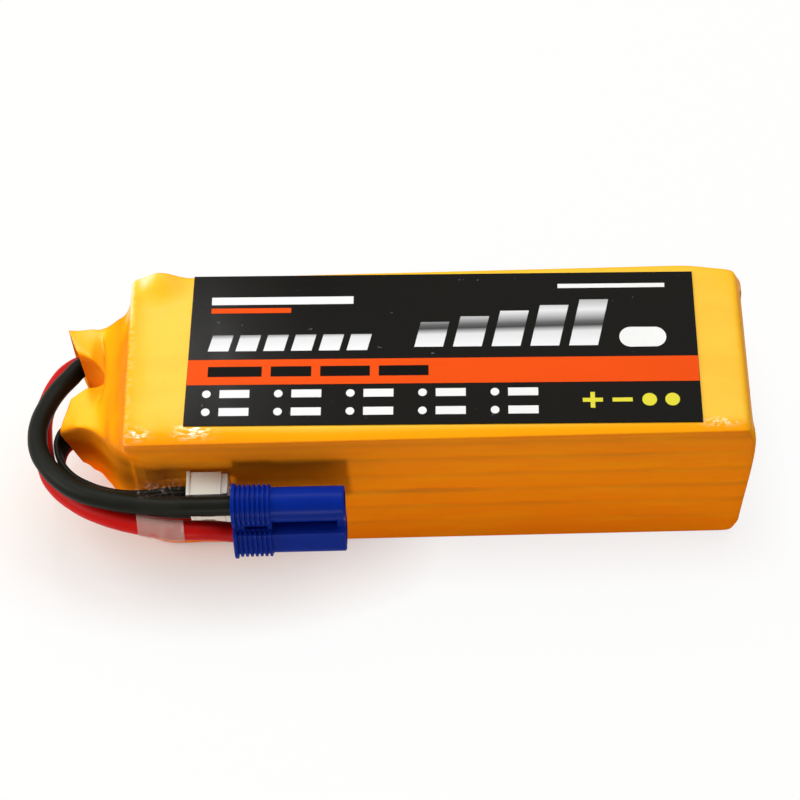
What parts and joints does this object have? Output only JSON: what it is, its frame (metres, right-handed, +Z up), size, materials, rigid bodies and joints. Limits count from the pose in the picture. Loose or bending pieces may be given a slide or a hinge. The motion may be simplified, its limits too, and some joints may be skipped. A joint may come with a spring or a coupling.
{
  "type": "lipo battery pack",
  "caption": "Rectangular lithium polymer battery pack in shrunk film with a printed label, heavy main leads to a ribbed barrel plug and a ribbon of thin balance leads to a flat plug.",
  "frame": {"origin": "centre of the flat underside of the wrapped pack, leads left out", "axes": "+X along the pack's length, away from the end where the leads come out; +Z up, out of the labelled face; +Y away from the side that the leads lie along"},
  "size_m": [0.1628, 0.0605, 0.0473],
  "materials": {
    "shrink_film": "thin heat-shrunk film, deep yellow-orange, soft sheen",
    "label_print": "black printed film with an orange band",
    "cell_pouch": "laminated aluminium pouch",
    "cell_pad": "thin double-sided adhesive pad",
    "guard_sheet": "thin glass-fibre sheet",
    "tab_aluminium": "thin bare aluminium strip",
    "tab_nickel": "thin nickel-plated strip",
    "board_laminate": "slotted circuit board laminate",
    "insulator_card": "insulating card",
    "end_foam": "dense black foam",
    "black_silicone": "soft silicone insulation, matt",
    "red_silicone": "soft silicone insulation, matt",
    "plug_blue": "moulded blue plastic with a ribbed grip",
    "socket_gold": "gold-plated brass socket",
    "plug_white": "moulded off-white plastic",
    "contact_tin": "tin-plated crimp contact",
    "balance_black": "thin silicone insulation",
    "balance_red": "thin silicone insulation",
    "clear_tape": "clear adhesive tape, slightly hazy"
  },
  "bodies": {
    "root": {"shrink_film_sleeve": "shrink_film", "label": "label_print", "cell_1": "cell_pouch", "cell_2": "cell_pouch", "cell_3": "cell_pouch", "cell_4": "cell_pouch", "cell_5": "cell_pouch", "cell_6": "cell_pouch", "cell_1_tab_positive": "tab_aluminium", "cell_1_tab_negative": "tab_nickel", "cell_2_tab_positive": "tab_aluminium", "cell_2_tab_negative": "tab_nickel", "cell_3_tab_positive": "tab_aluminium", "cell_3_tab_negative": "tab_nickel", "cell_4_tab_positive": "tab_aluminium", "cell_4_tab_negative": "tab_nickel", "cell_5_tab_positive": "tab_aluminium", "cell_5_tab_negative": "tab_nickel", "cell_6_tab_positive": "tab_aluminium", "cell_6_tab_negative": "tab_nickel", "cell_pad_1": "cell_pad", "cell_pad_2": "cell_pad", "cell_pad_3": "cell_pad", "cell_pad_4": "cell_pad", "cell_pad_5": "cell_pad", "bottom_guard_plate": "guard_sheet", "top_guard_plate": "guard_sheet", "tab_board": "board_laminate", "tab_end_insulator": "insulator_card", "rear_end_pad": "end_foam", "main_lead_black": "black_silicone", "main_lead_red": "red_silicone", "main_plug_housing": "plug_blue", "main_socket_negative": "socket_gold", "main_socket_positive": "socket_gold", "balance_plug_housing": "plug_white", "balance_contact_1": "contact_tin", "balance_contact_2": "contact_tin", "balance_contact_3": "contact_tin", "balance_contact_4": "contact_tin", "balance_contact_5": "contact_tin", "balance_contact_6": "contact_tin", "balance_contact_7": "contact_tin", "balance_lead_1": "balance_red", "balance_lead_2": "balance_black", "balance_lead_3": "balance_black", "balance_lead_4": "balance_black", "balance_lead_5": "balance_black", "balance_lead_6": "balance_black", "balance_lead_7": "balance_black", "clear_tape": "clear_tape"}
  },
  "joints": []
}
